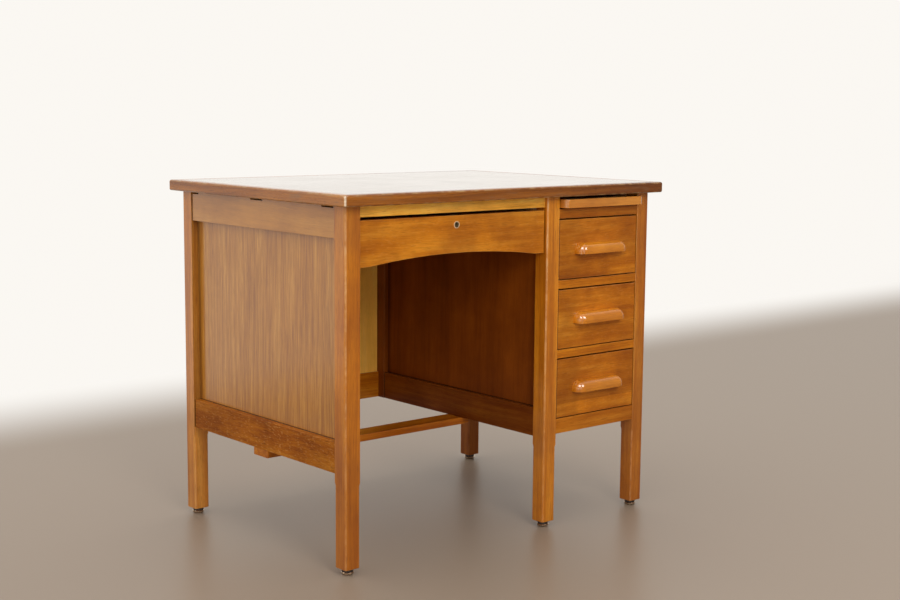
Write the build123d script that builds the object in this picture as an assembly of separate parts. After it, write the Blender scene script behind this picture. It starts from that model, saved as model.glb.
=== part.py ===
from build123d import *
import os

# A single-pedestal oak teacher's desk, in millimetres.
# X runs across the desk (+X to the sitter's right), -Y faces the sitter, +Z is up.
# The origin lies on the floor, under the middle of the desktop.

# Overall sizes
WIDTH = 920.0
DEPTH = 676.0
HEIGHT = 775.0
TOP_THICKNESS = 24.0
SIDE_OVERHANG = 20.5
FRONT_OVERHANG = 27.0
LEG = 37.0
GLIDE_HEIGHT = 13.5
PEDESTAL_LEG_X = 112.3          # kneehole face of the middle leg

# Levels
TOP_UNDERSIDE = HEIGHT - TOP_THICKNESS
TOP_RAIL = (685.0, TOP_UNDERSIDE)
LOWER_RAIL = (208.0, 273.0)

# Leg lines: the outer faces of the frame, and the openings between the legs
FRAME_X = WIDTH / 2 - SIDE_OVERHANG
FRAME_Y = DEPTH / 2 - FRONT_OVERHANG
KNEEHOLE = (LEG - FRAME_X, PEDESTAL_LEG_X)
PEDESTAL = (PEDESTAL_LEG_X + LEG, FRAME_X - LEG)
PEDESTAL_CENTRE = sum(PEDESTAL) / 2
BETWEEN_LEGS_Y = (LEG - FRAME_Y, FRAME_Y - LEG)

# Frame joinery
RAIL_THICKNESS = 24.0
SIDE_RAIL_RECESS = 2.5
INNER_RAIL_RECESS = 1.0
BACK_RAIL_RECESS = 1.0
BACK_RAIL_THICKNESS = 13.5
SIDE_PANEL_RECESS = 16.0
INNER_PANEL_RECESS = 12.0
BACK_PANEL_RECESS = 4.0
PANEL_THICKNESS = 6.0
BACK_PANEL_THICKNESS = 4.5
PANEL_GROOVE = 8.0
SIDE_TENON = 20.0
FRONT_TENON = 14.0
SIDE_SHOULDERS = (6.5, 8.5)     # set-ins of a tenon from the faces of its rail
BACK_SHOULDERS = (2.5, 4.0)
TOP_RAIL_SHOULDERS = (12.0, 24.0)
LOWER_RAIL_SHOULDERS = (8.0, 11.0)
DIVIDER_SHOULDERS = (4.0, 4.0)
ARRIS_RADIUS = 5.0
EASING = 1.0                    # radius that sandpaper leaves on a plain edge
ROUNDOVER_STOP = 25.0           # below the rails
ROUTER_RADIUS = 8.0

# Desktop
EDGING_WIDTH = 22.0
EDGING_TONGUE = 7.0
TOP_CORNER_RADIUS = 7.0
TOP_EDGE_RADIUS = 5.0
TOP_UNDERSIDE_RADIUS = 4.0

# Front of the pedestal
FRONT_RAIL_DEPTH = 35.5
FRONT_RECESS = 1.5
DIVIDER = 19.0
BOTTOM_RAIL = (213.5, 247.5)
SLIDE_RAIL = (700.6, 721.7)
DRAWER_FRONT_THICKNESS = 20.0
DRAWER_SIDE_GAP = 1.2
DRAWER_TOP_GAP = 3.2
DRAWER_BOTTOM_GAP = 2.2
DRAWER_BACK_Y = 240.0
BOX_THICKNESS = 12.0
BOX_HEIGHT = 118.0
BOTTOM_THICKNESS = 5.0
BOTTOM_RAISE = 9.0
TAIL_LENGTH = 12.0
HOUSING = 5.0                   # depth of the grooves and dadoes in a drawer
FRONT_EASING = 1.5
RUNNING_GAP = 0.3

# Runners
RUNNER_WIDTH = 28.0
RUNNER_TONGUE = (13.0, 6.0)     # below the runner's top
RUNNER_TONGUE_REACH = 8.0
RUNNER_TONGUE_SHOULDER = 2.0
GUIDE_WIDTH = 10.0
GUIDE_HEIGHT = 12.0
SLIDE_RUNNER_WIDTH = 25.0
SLIDE_RUNNER_FLOOR = 20.0       # below the slide
SLIDE_SIDE_GAP = 1.6
CENTRE_RUNNER_FLOOR = 19.0      # below the drawer's sides

# Drawer pulls
PULL_LENGTH = 152.0
PULL_PROJECTION = 25.0
PULL_HEIGHT = 25.0
PULL_RAISE = 55.5               # from the bottom of the drawer front
PULL_ROUNDING = 20.0
COVE_RADIUS = 8.5
COVE_LENGTH = 108.0             # between the centres of its round ends
PULL_SCREW_SPACING = 96.0
PULL_SCREW_RAISE = 16.5
PULL_SCREW_REACH = 14.0
PULL_SCREW_RADII = (2.0, 4.0)   # of shank and head
COVE_SET_BACK = 3.0

# Writing slide
SLIDE_LIP = (724.5, 744.2)
SLIDE_BOARD = (725.0, 741.5)
SLIDE_LIP_DEPTH = 24.0
SLIDE_PROJECTION = 21.0         # in front of the leg faces
SLIDE_CORNER_RADIUS = 13.0
SLIDE_BACK_Y = 190.0
SLIDE_STOP_Y = 76.5
SLIDE_STOP_DEPTH = 20.0
SLIDE_STOP_HALF_WIDTH = 30.0
SLIDE_STOP_HEIGHT = 7.0
BATTEN_SET_IN = 15.0
BATTEN_HEIGHT = 6.0
SLIDE_LIP_GAP = 1.4
SLIDE_BOARD_GAP = 2.0
SLIDE_TONGUE = 8.0
SLIDE_TONGUE_SET_IN = 12.0

# Centre drawer
CENTRE_RECESS = 8.5
CENTRE_FRONT = (626.5, 720.5)
CENTRE_GAP = 2.0
CENTRE_BACK_Y = 180.0
CENTRE_BOX = (652.0, 712.0)
CENTRE_BOX_INSET = 4.0          # from the ends of the drawer front
ARCH_HALF_SPAN = 229.0
ARCH_RISE = 15.3
KNEEHOLE_RAIL = (727.0, TOP_UNDERSIDE)
KNEEHOLE_RAIL_RECESS = 9.0
KNEEHOLE_RAIL_DEPTH = 22.0

# Lock in the centre drawer
LOCK_X = sum(KNEEHOLE) / 2
LOCK_Z = 701.0
LOCK_PLATE = 1.5
LOCK_PLATE_BOTTOM = 680.0
LOCK_PLATE_HALF_WIDTH = 30.0
SELVEDGE = 2.0                  # the strip let into the top edge of the drawer front
CASE_HALF_WIDTH = 24.0
CASE_BOTTOM = 684.0
CASE_DEPTH = 11.5
CASE_WALL = 2.5
CASE_BACK_WALL = 1.0
CASE_SIDE_WALL = 4.0
PLUG_RADIUS = 5.95
PLUG_BORE = 6.05
PLUG_STEM = 2.5
PLUG_PROUD = 1.0
RING_WIDTH = 1.2
RING_PROUD = 1.2
RING_DEPTH = 3.0
KEYHOLE_RADIUS = 1.8
KEYHOLE_RAISE = 2.2
KEY_SLOT_DROP = 4.2
KEYHOLE_DEPTH = 10.0
BOLT_HALF_WIDTH = 8.0
BOLT_SET_BACK = 3.1             # behind the front of the case
BOLT_THICKNESS = 3.5
BOLT_FOOT_RAISE = 3.2           # above the plug's axis
BOLT_TRAVEL = 11.0
FOOT_HALF_WIDTH = 12.0
FOOT_HEIGHT = 2.0
FOOT_THICKNESS = 2.2
CAM_REACH = 9.0
CAM_RADIUS = 2.0
CAM_THICKNESS = 1.8
STRIKE_HALF_WIDTH = 22.0
STRIKE_MARGINS = (5.0, 4.0)     # in front of and behind its mortise
MORTISE_HALF_WIDTH = 9.5
MORTISE_GAP = 1.0
MORTISE_HEADROOM = 3.0

# Foot rail
FOOT_RAIL_WIDTH = 54.0
FOOT_RAIL_THICKNESS = 16.0
FOOT_RAIL_EASING = 2.0
FOOT_SCREW = (40.0, 2.2, 4.5)   # length, shank radius, head radius

# Fasteners of the desktop: stretches of the end rails where they are let in
FASTENER_NOTCHES = ((-268.4, -227.7), (-14.2, 32.5), (246.0, FRAME_Y - LEG))
FASTENER_NOTCH_DEPTH = 5.5
FASTENER_SIZE = (38.0, 36.0, 2.5)
FASTENER_SET_IN = 10.0
FASTENER_RAIL_SCREW = (25.0, 2.0, 4.0)
FASTENER_TOP_SCREW = (18.0, 2.0, 4.0)
FASTENER_HOLES = (6.0, 30.0)    # across the plate, from its outer end

# Glides
GLIDE_RADIUS = 13.5
GLIDE_BOWL_RADIUS = 5.5
GLIDE_CAP_HEIGHT = 6.5
CUSHION_RADIUS = 12.0
NAIL_RADIUS = 2.2
NAIL_LENGTH = 22.0


# ---------------------------------------------------------------- small tools

def board(x_span, y_span, z_span):
    """A square-edged board that fills three (low, high) spans."""
    spans = (x_span, y_span, z_span)
    size = [high - low for low, high in spans]
    middle = [(low + high) / 2 for low, high in spans]
    return Pos(*middle) * Box(*size)


def tenoned(spans, along, reach, shoulders):
    """A rail with eased long edges and a tenon at each end.

    along is the rail's axis (0, 1 or 2), and shoulders are the tenon's (low, high) set-ins on the others.
    """
    rail = board(*spans)
    long_edges = rail.edges().filter_by((Axis.X, Axis.Y, Axis.Z)[along])
    rail = fillet(long_edges, EASING)
    tenon = []
    for axis, (low, high) in enumerate(spans):
        if axis == along:
            tenon.append((low - reach, high + reach))
        else:
            low_shoulder, high_shoulder = shoulders[axis]
            tenon.append((low + low_shoulder, high - high_shoulder))
    return rail + board(*tenon)


def housed(host, *inserts):
    """The host with a mortise, groove or bore wherever an insert enters it."""
    for insert in inserts:
        host = host - insert
    return host


def group(*solids):
    """Separate solids that share one node."""
    return Compound(children=list(solids))


def across(solid):
    """The same piece on the other end of the desk."""
    return mirror(solid, about=Plane.YZ)


def across_pedestal(solid):
    """The same piece on the other side of the pedestal."""
    return mirror(solid, about=Plane.YZ.offset(PEDESTAL_CENTRE))


def screw(length, shank_radius, head_radius):
    """A slotted countersunk wood screw that points up, with its head at the origin."""
    head_height = head_radius - shank_radius
    head = Cone(head_radius, shank_radius, head_height, align=(Align.CENTER, Align.CENTER, Align.MIN))
    shank = Cylinder(shank_radius, length, align=(Align.CENTER, Align.CENTER, Align.MIN))
    slot = Box(2 * head_radius, 0.25 * head_radius, 0.5 * head_height)
    return head + shank - slot


# ------------------------------------------------------------------- desktop

def desktop():
    """A core panel and four mitred lippings, tongued into it all round."""
    top_z = (TOP_UNDERSIDE, HEIGHT)
    slab = board((-WIDTH / 2, WIDTH / 2), (-DEPTH / 2, DEPTH / 2), top_z)
    slab = fillet(slab.edges().filter_by(Axis.Z), TOP_CORNER_RADIUS)
    slab = fillet(slab.faces().sort_by(Axis.Z)[-1].edges(), TOP_EDGE_RADIUS)
    slab = fillet(slab.faces().sort_by(Axis.Z)[0].edges(), TOP_UNDERSIDE_RADIUS)
    core_x = WIDTH / 2 - EDGING_WIDTH
    core_y = DEPTH / 2 - EDGING_WIDTH
    core = board((-core_x, core_x), (-core_y, core_y), top_z)
    third = TOP_THICKNESS / 3
    tongue_z = (TOP_UNDERSIDE + third, HEIGHT - third)
    inside_x = core_x - EDGING_TONGUE
    inside_y = core_y - EDGING_TONGUE
    tongue = board((-core_x, core_x), (-core_y, core_y), tongue_z)
    tongue = tongue - board((-inside_x, inside_x), (-inside_y, inside_y), tongue_z)
    panel = core - tongue
    ring = (slab - core) + tongue
    spare = 1.0
    far_x = -WIDTH / 2 - spare
    far_y = DEPTH / 2 + spare
    mitre_tip = (DEPTH / 2 - WIDTH / 2, 0)
    end_cut = Polygon((far_x, -far_y), mitre_tip, (far_x, far_y), align=None)
    wedge = extrude(Pos(0, 0, TOP_UNDERSIDE - spare) * end_cut, TOP_THICKNESS + 2 * spare)
    left = ring & wedge
    right = across(left)
    long_pieces = (ring - wedge) - across(wedge)
    return panel, group(left, right, *long_pieces.solids())


# ---------------------------------------------------------------------- legs

def stopped_roundover(x_side, y_side, x, y, z_low, z_stop):
    """What a router takes off a vertical arris up to a stop. The wood lies towards -x_side, -y_side."""
    spare = 1.0
    quarter = Polygon((-spare, -spare), (ARRIS_RADIUS, -spare), (ARRIS_RADIUS, ARRIS_RADIUS),
                      (-spare, ARRIS_RADIUS), align=None)
    quarter = quarter - Pos(ARRIS_RADIUS, ARRIS_RADIUS) * Circle(ARRIS_RADIUS)
    straight = extrude(quarter, z_stop - z_low)
    run_out = revolve(quarter, Axis((0, -ROUTER_RADIUS, 0), (1, 0, 0)), 90)
    cutter = Pos(0, 0, z_low) * straight + Pos(0, 0, z_stop) * run_out
    if x_side > 0:
        cutter = mirror(cutter, about=Plane.YZ)
    if y_side > 0:
        cutter = mirror(cutter, about=Plane.XZ)
    return Pos(x, y, 0) * cutter


def leg(x_low, y_low, outer_corner):
    """A floor leg. Its outer arris is rounded all the way, the other three only below the rails."""
    half = LEG / 2
    corners = [(x_side, y_side) for x_side in (-1, 1) for y_side in (-1, 1)]
    section = Rectangle(LEG, LEG)
    for corner in corners:
        vertex = section.vertices().sort_by_distance((corner[0] * half, corner[1] * half))[0]
        section = fillet(vertex, ARRIS_RADIUS if corner == outer_corner else EASING)
    centre_x = x_low + half
    centre_y = y_low + half
    blank = Pos(centre_x, centre_y, GLIDE_HEIGHT) * extrude(section, TOP_UNDERSIDE - GLIDE_HEIGHT)
    z_stop = LOWER_RAIL[0] - ROUNDOVER_STOP
    for x_side, y_side in corners:
        if (x_side, y_side) != outer_corner:
            arris = (centre_x + x_side * half, centre_y + y_side * half)
            blank = blank - stopped_roundover(x_side, y_side, *arris, GLIDE_HEIGHT - 1, z_stop)
    foot_edges = blank.faces().sort_by(Axis.Z)[0].edges()
    return chamfer(foot_edges, EASING)


def floor_legs():
    """The five legs that reach the floor, with the places of their glides."""
    right_x = FRAME_X - LEG
    back_y = FRAME_Y - LEG
    places = {
        "front_left_leg": (-FRAME_X, -FRAME_Y, (-1, -1)),
        "back_left_leg": (-FRAME_X, back_y, (-1, 1)),
        "front_middle_leg": (PEDESTAL_LEG_X, -FRAME_Y, (-1, -1)),
        "front_right_leg": (right_x, -FRAME_Y, (1, -1)),
        "back_right_leg": (right_x, back_y, (1, 1)),
    }
    legs = {name: leg(*place) for name, place in places.items()}
    centres = [(x + LEG / 2, y + LEG / 2) for x, y, corner in places.values()]
    return legs, centres


def glides(centres):
    """A nail-on glide under each leg: a nickel cap with its nail, and a rubber cushion above the cap."""
    flat = (GLIDE_RADIUS - GLIDE_BOWL_RADIUS, 0)
    rim = (GLIDE_RADIUS, GLIDE_BOWL_RADIUS)
    nail_tip = GLIDE_HEIGHT + NAIL_LENGTH
    base = Line((0, 0), flat)
    bowl = TangentArc(flat, rim, tangent=(1, 0))
    rest = Polyline(rim, (GLIDE_RADIUS - EASING, GLIDE_CAP_HEIGHT), (NAIL_RADIUS, GLIDE_CAP_HEIGHT),
                    (NAIL_RADIUS, nail_tip), (0, nail_tip), (0, 0))
    section = Plane.XZ * make_face(base.edges() + bowl.edges() + rest.edges())
    cap = revolve(section, Axis.Z)
    cushion_height = GLIDE_HEIGHT - GLIDE_CAP_HEIGHT
    cushion = Cylinder(CUSHION_RADIUS, cushion_height, align=(Align.CENTER, Align.CENTER, Align.MIN))
    cushion = fillet(cushion.edges(), EASING)
    cushion = cushion - Cylinder(NAIL_RADIUS, 4 * cushion_height)
    caps = [Pos(x, y, 0) * cap for x, y in centres]
    cushions = [Pos(x, y, GLIDE_CAP_HEIGHT) * cushion for x, y in centres]
    return caps, cushions


# --------------------------------------------------------------------- frame

def left_end():
    """Top rail, lower rail and plywood panel of the left end. The right end mirrors them."""
    rail_x = (SIDE_RAIL_RECESS - FRAME_X, SIDE_RAIL_RECESS - FRAME_X + RAIL_THICKNESS)
    panel_x = (SIDE_PANEL_RECESS - FRAME_X, SIDE_PANEL_RECESS - FRAME_X + PANEL_THICKNESS)
    return side_frame(rail_x, panel_x)


def inner_side():
    """Top rail, lower rail and panel between the kneehole and the pedestal."""
    rail_x = (PEDESTAL_LEG_X + INNER_RAIL_RECESS, PEDESTAL_LEG_X + INNER_RAIL_RECESS + RAIL_THICKNESS)
    panel_x = (PEDESTAL_LEG_X + INNER_PANEL_RECESS, PEDESTAL_LEG_X + INNER_PANEL_RECESS + PANEL_THICKNESS)
    return side_frame(rail_x, panel_x)


def side_frame(rail_x, panel_x):
    """Two rails along Y with the panel that stands in their grooves."""
    shoulders = {0: SIDE_SHOULDERS, 2: TOP_RAIL_SHOULDERS}
    top_rail = tenoned((rail_x, BETWEEN_LEGS_Y, TOP_RAIL), 1, SIDE_TENON, shoulders)
    shoulders = {0: SIDE_SHOULDERS, 2: LOWER_RAIL_SHOULDERS}
    lower_rail = tenoned((rail_x, BETWEEN_LEGS_Y, LOWER_RAIL), 1, SIDE_TENON, shoulders)
    panel_y = (BETWEEN_LEGS_Y[0] - PANEL_GROOVE, BETWEEN_LEGS_Y[1] + PANEL_GROOVE)
    panel_z = (LOWER_RAIL[1] - PANEL_GROOVE, TOP_RAIL[0] + PANEL_GROOVE)
    panel = board(panel_x, panel_y, panel_z)
    return housed(top_rail, panel), housed(lower_rail, panel), panel


def back_frame(x_span):
    """Top rail, lower rail and plywood panel that close the back between two legs."""
    outside = FRAME_Y - BACK_RAIL_RECESS
    rail_y = (outside - BACK_RAIL_THICKNESS, outside)
    shoulders = {1: BACK_SHOULDERS, 2: TOP_RAIL_SHOULDERS}
    top_rail = tenoned((x_span, rail_y, TOP_RAIL), 0, FRONT_TENON, shoulders)
    shoulders = {1: BACK_SHOULDERS, 2: LOWER_RAIL_SHOULDERS}
    lower_rail = tenoned((x_span, rail_y, LOWER_RAIL), 0, FRONT_TENON, shoulders)
    panel_y = (FRAME_Y - BACK_PANEL_RECESS - BACK_PANEL_THICKNESS, FRAME_Y - BACK_PANEL_RECESS)
    panel_x = (x_span[0] - PANEL_GROOVE, x_span[1] + PANEL_GROOVE)
    panel_z = (LOWER_RAIL[1] - PANEL_GROOVE, TOP_RAIL[0] + PANEL_GROOVE)
    panel = board(panel_x, panel_y, panel_z)
    return housed(top_rail, panel), housed(lower_rail, panel), panel


def pedestal_front_rail(z_span):
    """A rail or drawer divider between the two front legs of the pedestal."""
    front = FRONT_RECESS - FRAME_Y
    spans = (PEDESTAL, (front, front + FRONT_RAIL_DEPTH), z_span)
    return tenoned(spans, 0, FRONT_TENON, {1: SIDE_SHOULDERS, 2: DIVIDER_SHOULDERS})


def kneehole_front_rail():
    """The thin rail under the desktop, above the centre drawer."""
    front = KNEEHOLE_RAIL_RECESS - FRAME_Y
    spans = (KNEEHOLE, (front, front + KNEEHOLE_RAIL_DEPTH), KNEEHOLE_RAIL)
    return tenoned(spans, 0, FRONT_TENON, {1: DIVIDER_SHOULDERS, 2: DIVIDER_SHOULDERS})


def opening_bottoms():
    """Floor level of each drawer opening in the pedestal, from the lowest up, and one opening's height."""
    height = (SLIDE_RAIL[0] - BOTTOM_RAIL[1] - 2 * DIVIDER) / 3
    pitch = height + DIVIDER
    return [BOTTOM_RAIL[1] + i * pitch for i in range(3)], height


def drawer_runner(z_top):
    """An L-shaped runner with a tongue into the front rail. It carries and guides a drawer side."""
    x_low = PEDESTAL[0] - GUIDE_WIDTH
    x_high = x_low + RUNNER_WIDTH
    runner = board((x_low, x_high), BETWEEN_LEGS_Y, (z_top - DIVIDER, z_top))
    runner = runner + board((x_low, PEDESTAL[0]), BETWEEN_LEGS_Y, (z_top, z_top + GUIDE_HEIGHT))
    tongue_x = (PEDESTAL[0] + RUNNER_TONGUE_SHOULDER, x_high - RUNNER_TONGUE_SHOULDER)
    tongue_y = (BETWEEN_LEGS_Y[0] - RUNNER_TONGUE_REACH, BETWEEN_LEGS_Y[0])
    tongue_z = (z_top - RUNNER_TONGUE[0], z_top - RUNNER_TONGUE[1])
    return runner + board(tongue_x, tongue_y, tongue_z)


def slide_runner():
    """A grooved runner that holds one edge of the writing slide."""
    x_low = PEDESTAL[0] - GUIDE_WIDTH
    x_high = x_low + SLIDE_RUNNER_WIDTH
    block = board((x_low, x_high), BETWEEN_LEGS_Y, (SLIDE_BOARD[0] - SLIDE_RUNNER_FLOOR, TOP_UNDERSIDE))
    groove_z = (SLIDE_BOARD[0] - RUNNING_GAP, SLIDE_BOARD[1] + RUNNING_GAP)
    groove = board((PEDESTAL[0] + SLIDE_SIDE_GAP, x_high + GUIDE_WIDTH), (-FRAME_Y, FRAME_Y), groove_z)
    return block - groove


def slide_stop_batten():
    """The batten under the desktop that the slide's stop block meets."""
    x_span = (PEDESTAL[0] + BATTEN_SET_IN, PEDESTAL[1] - BATTEN_SET_IN)
    y_span = (BETWEEN_LEGS_Y[0], BETWEEN_LEGS_Y[0] + SLIDE_STOP_DEPTH)
    return board(x_span, y_span, (TOP_UNDERSIDE - BATTEN_HEIGHT, TOP_UNDERSIDE))


def centre_drawer_runner(rail_face, box_face, into):
    """A grooved runner on a top rail. The groove faces into the kneehole (into is +1 or -1 along X)."""
    jaw = box_face + into * BOX_THICKNESS
    block_z = (CENTRE_BOX[0] - CENTRE_RUNNER_FLOOR, KNEEHOLE_RAIL[0])
    block = board(sorted((rail_face, jaw)), BETWEEN_LEGS_Y, block_z)
    groove_x = sorted((box_face - into * RUNNING_GAP, jaw + into))
    groove_z = (CENTRE_BOX[0] - RUNNING_GAP, CENTRE_BOX[1] + RUNNING_GAP)
    return block - board(groove_x, (-FRAME_Y, FRAME_Y), groove_z)


def foot_rail():
    """The board that ties the two sides of the kneehole, screwed up into their lower rails."""
    x_span = (SIDE_RAIL_RECESS - FRAME_X, PEDESTAL_LEG_X + INNER_RAIL_RECESS + RAIL_THICKNESS - 2.0)
    z_span = (LOWER_RAIL[0] - FOOT_RAIL_THICKNESS, LOWER_RAIL[0])
    rail = board(x_span, (-FOOT_RAIL_WIDTH / 2, FOOT_RAIL_WIDTH / 2), z_span)
    rail = fillet(rail.edges().filter_by(Axis.X), FOOT_RAIL_EASING)
    screws = []
    for x in (x_span[0] + RAIL_THICKNESS / 2, x_span[1] - RAIL_THICKNESS / 2):
        for y in (-FOOT_RAIL_WIDTH / 4, FOOT_RAIL_WIDTH / 4):
            screws.append(Pos(x, y, z_span[0]) * screw(*FOOT_SCREW))
    return rail, screws


def top_fasteners():
    """Steel plates let into the left top rail, with a screw down to the rail and one up to the desktop."""
    length, width, thickness = FASTENER_SIZE
    rail_x = (SIDE_RAIL_RECESS - FRAME_X, SIDE_RAIL_RECESS - FRAME_X + RAIL_THICKNESS)
    outer = rail_x[0] + FASTENER_SET_IN
    plate_z = (TOP_UNDERSIDE - thickness, TOP_UNDERSIDE)
    notches, pieces = [], []
    for y_low, y_high in FASTENER_NOTCHES:
        notches.append(board(rail_x, (y_low, y_high), (TOP_UNDERSIDE - FASTENER_NOTCH_DEPTH, TOP_UNDERSIDE)))
        middle = (y_low + y_high) / 2
        half = min(width, y_high - y_low - 2 * EASING) / 2
        plate = board((outer, outer + length), (middle - half, middle + half), plate_z)
        down = Pos(outer + FASTENER_HOLES[0], middle, plate_z[1]) * Rot(180, 0, 0)
        down = down * screw(*FASTENER_RAIL_SCREW)
        up = Pos(outer + FASTENER_HOLES[1], middle, plate_z[0]) * screw(*FASTENER_TOP_SCREW)
        pieces += [plate - down - up, down, up]
    return notches, pieces


# ------------------------------------------------------------------- drawers

def dovetailed_side(x_span, y_joint, y_back, z_span, tails):
    """A drawer side whose front end is cut into tails that fit half-blind sockets in the front."""
    z_low, z_high = z_span
    pitch = (z_high - z_low) / tails
    root = 0.42 * pitch
    flare = TAIL_LENGTH / 6
    points = [(y_back, z_low), (y_joint, z_low)]
    for i in range(tails):
        middle = z_low + (i + 0.5) * pitch
        points.append((y_joint, middle - root / 2))
        points.append((y_joint - TAIL_LENGTH, middle - root / 2 - flare))
        points.append((y_joint - TAIL_LENGTH, middle + root / 2 + flare))
        points.append((y_joint, middle + root / 2))
    points += [(y_joint, z_high), (y_back, z_high)]
    outline = Plane.YZ.offset(x_span[0]) * Polygon(*points, align=None)
    side = extrude(outline, x_span[1] - x_span[0], dir=(1, 0, 0))
    top_edges = side.faces().sort_by(Axis.Z)[-1].edges().filter_by(Axis.Y)
    return fillet(top_edges, FRONT_EASING)


def drawer_box(x_span, y_joint, y_back, z_span, tails):
    """Two dovetailed sides, a back housed in them, and a plywood bottom in their grooves."""
    x_low, x_high = x_span
    z_low, z_high = z_span
    inside = (x_low + BOX_THICKNESS, x_high - BOX_THICKNESS)
    bottom_z = (z_low + BOTTOM_RAISE, z_low + BOTTOM_RAISE + BOTTOM_THICKNESS)
    bottom = board((inside[0] - HOUSING, inside[1] + HOUSING), (y_joint - HOUSING, y_back - 1.0), bottom_z)
    back_y = (y_back - 1.5 * BOX_THICKNESS, y_back - 0.5 * BOX_THICKNESS)
    back = board((inside[0] - HOUSING, inside[1] + HOUSING), back_y, (bottom_z[1], z_high - 4.0))
    left = dovetailed_side((x_low, inside[0]), y_joint, y_back, z_span, tails)
    right = dovetailed_side((inside[1], x_high), y_joint, y_back, z_span, tails)
    return housed(left, bottom, back), housed(right, bottom, back), back, bottom


def drawer_pull():
    """A quarter-round bar with domed ends and a stopped finger cove underneath. Its back is at y = 0."""
    bar = board((-PULL_LENGTH / 2, PULL_LENGTH / 2), (-PULL_PROJECTION, 0), (0, PULL_HEIGHT))
    ends = [edge for edge in bar.edges().filter_by(Axis.Z) if edge.center().Y < -1]
    bar = fillet(ends, PULL_ROUNDING + 1.0)
    top = bar.faces().sort_by(Axis.Z)[-1]
    rim = [edge for edge in top.edges() if edge.center().Y < -1e-3]
    bar = fillet(rim, PULL_ROUNDING)
    cove_y = -COVE_SET_BACK - COVE_RADIUS
    cove = Pos(0, cove_y, 0) * Rot(0, 90, 0) * Cylinder(COVE_RADIUS, COVE_LENGTH)
    for end_x in (-COVE_LENGTH / 2, COVE_LENGTH / 2):
        cove = cove + Pos(end_x, cove_y, 0) * Sphere(COVE_RADIUS)
    return bar - cove


def pedestal_drawer(opening_bottom, opening_height):
    """All the pieces of one pedestal drawer, by name."""
    x_span = (PEDESTAL[0] + DRAWER_SIDE_GAP, PEDESTAL[1] - DRAWER_SIDE_GAP)
    front_y = (FRONT_RECESS - FRAME_Y, FRONT_RECESS - FRAME_Y + DRAWER_FRONT_THICKNESS)
    front_z = (opening_bottom + DRAWER_BOTTOM_GAP, opening_bottom + opening_height - DRAWER_TOP_GAP)
    box_z = (opening_bottom + RUNNING_GAP, opening_bottom + RUNNING_GAP + BOX_HEIGHT)
    left, right, back, bottom = drawer_box(x_span, front_y[1], DRAWER_BACK_Y, box_z, 3)
    front = board(x_span, front_y, front_z)
    front = fillet(front.faces().sort_by(Axis.Y)[0].edges(), FRONT_EASING)
    pull_z = front_z[0] + PULL_RAISE
    pull = Pos(PEDESTAL_CENTRE, front_y[0], pull_z) * drawer_pull()
    pull_screw = Rot(90, 0, 0) * screw(DRAWER_FRONT_THICKNESS + PULL_SCREW_REACH, *PULL_SCREW_RADII)
    screws = []
    for side in (-1, 1):
        screw_x = PEDESTAL_CENTRE + side * PULL_SCREW_SPACING / 2
        screws.append(Pos(screw_x, front_y[1], pull_z + PULL_SCREW_RAISE) * pull_screw)
    return {
        "front": housed(front, left, right, bottom, *screws),
        "box": group(left, right, back),
        "bottom": bottom,
        "pull": housed(pull, *screws),
        "pull_screws": group(*screws),
    }


def centre_drawer():
    """The wide, shallow drawer over the kneehole, with an arched lower edge."""
    x_span = (KNEEHOLE[0] + CENTRE_GAP, KNEEHOLE[1] - CENTRE_GAP)
    front_y = (CENTRE_RECESS - FRAME_Y, CENTRE_RECESS - FRAME_Y + DRAWER_FRONT_THICKNESS)
    front = board(x_span, front_y, CENTRE_FRONT)
    arch_radius = (ARCH_HALF_SPAN**2 + ARCH_RISE**2) / (2 * ARCH_RISE)
    arch_centre = Pos(LOCK_X, sum(front_y) / 2, CENTRE_FRONT[0] + ARCH_RISE - arch_radius)
    front = front - arch_centre * Rot(90, 0, 0) * Cylinder(arch_radius, 2 * DRAWER_FRONT_THICKNESS)
    front = fillet(front.faces().sort_by(Axis.Y)[0].edges(), EASING)
    box_x = (x_span[0] + CENTRE_BOX_INSET, x_span[1] - CENTRE_BOX_INSET)
    left, right, back, bottom = drawer_box(box_x, front_y[1], CENTRE_BACK_Y, CENTRE_BOX, 2)
    return housed(front, left, right, bottom), (left, right), back, bottom, front_y


# ---------------------------------------------------------------------- lock

def lock_span(half_width):
    """The (low, high) X values of a piece centred on the lock."""
    return LOCK_X - half_width, LOCK_X + half_width


def lock_pieces(front_y):
    """Case, plug, bolt and escutcheon of the drawer lock, and the strike plate above it."""
    face, back = front_y
    top = CENTRE_FRONT[1]
    case_front = back - CASE_DEPTH
    bolt_y = (case_front + BOLT_SET_BACK, case_front + BOLT_SET_BACK + BOLT_THICKNESS)
    slot_y = (bolt_y[0] - RUNNING_GAP, bolt_y[1] + RUNNING_GAP)
    ring_y = (face - RING_PROUD, face + RING_DEPTH)
    ring = bore_along_y(PLUG_BORE + RING_WIDTH, ring_y) - bore_along_y(PLUG_BORE, ring_y)
    case = lock_case(case_front, back, top, slot_y)
    plug = lock_plug(face - PLUG_PROUD, case_front, bolt_y[1])
    bolt = lock_bolt(bolt_y, top)
    strike, mortise = strike_plate(slot_y, top)
    return case, plug, bolt, ring, strike, mortise


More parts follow.
